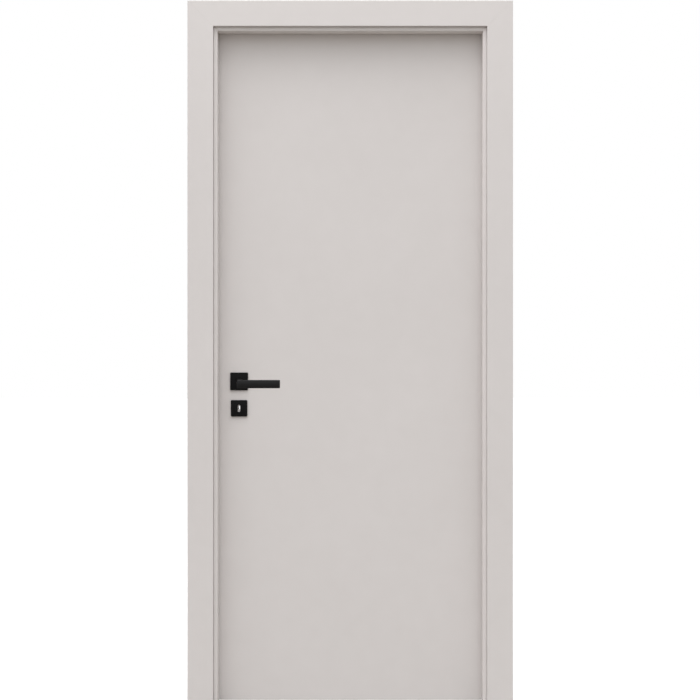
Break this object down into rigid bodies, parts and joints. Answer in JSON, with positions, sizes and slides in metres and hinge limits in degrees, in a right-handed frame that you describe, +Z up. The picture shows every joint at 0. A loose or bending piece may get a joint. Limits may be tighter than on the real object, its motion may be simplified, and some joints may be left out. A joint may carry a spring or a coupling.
{
  "type": "interior door",
  "caption": "Flush hinged interior door leaf in a rebated lining with mitred flat casings, butt hinges, square roses and black lever handles.",
  "frame": {"origin": "on the hinge jamb's wall-side face, at floor level, half way through the wall", "axes": "+X out of the doorway into the wall on the hinge side, +Y the side the leaf opens to, +Z up"},
  "size_m": [0.979, 0.164, 2.125],
  "materials": {
    "painted_frame": "satin warm grey paint on wood",
    "painted_casing": "satin warm grey paint on board",
    "seal_rubber": "matt grey seal",
    "painted_leaf": "satin warm grey paint on board",
    "core_board": "raw board",
    "black_metal": "matt black",
    "steel": "satin"
  },
  "bodies": {
    "frame": {"hinge_jamb": "painted_frame", "lock_jamb": "painted_frame", "head_jamb": "painted_frame", "stop_hinge_side": "painted_frame", "stop_lock_side": "painted_frame", "stop_head": "painted_frame", "front_casing_hinge_side": "painted_casing", "front_casing_lock_side": "painted_casing", "front_casing_head": "painted_casing", "back_casing_hinge_side": "painted_casing", "back_casing_lock_side": "painted_casing", "back_casing_head": "painted_casing", "seal_hinge_side": "seal_rubber", "seal_lock_side": "seal_rubber", "seal_head": "seal_rubber", "strike_plate": "steel", "hinge_top_frame_flap": "steel", "hinge_top_pin": "steel", "hinge_middle_frame_flap": "steel", "hinge_middle_pin": "steel", "hinge_bottom_frame_flap": "steel", "hinge_bottom_pin": "steel"},
    "leaf": {"leaf_front_skin": "painted_leaf", "leaf_back_skin": "painted_leaf", "hinge_stile": "painted_leaf", "lock_stile": "painted_leaf", "top_rail": "painted_leaf", "bottom_rail": "painted_leaf", "leaf_core": "core_board", "lock_case": "steel", "lock_faceplate": "steel", "latch_bolt": "steel", "dead_bolt": "steel", "front_handle_rose": "black_metal", "back_handle_rose": "black_metal", "front_key_rose": "black_metal", "back_key_rose": "black_metal", "hinge_top_leaf_flap": "steel", "hinge_middle_leaf_flap": "steel", "hinge_bottom_leaf_flap": "steel"},
    "handle": {"front_lever": "black_metal", "back_lever": "black_metal", "spindle": "steel"}
  },
  "joints": [
    {"name": "door_swing", "type": "hinge", "parent": "frame", "child": "leaf", "pos_m": [-0.0245, 0.0535, 0], "axis": [0, 0, -1], "range_deg": [0, 140]},
    {"name": "lever_turn", "type": "hinge", "parent": "leaf", "child": "handle", "pos_m": [-0.778, 0.026, 0.978], "axis": [0, 1, 0], "range_deg": [0, 45], "stiffness_Nm_per_rad": 1.5, "springref_deg": -28.65}
  ]
}
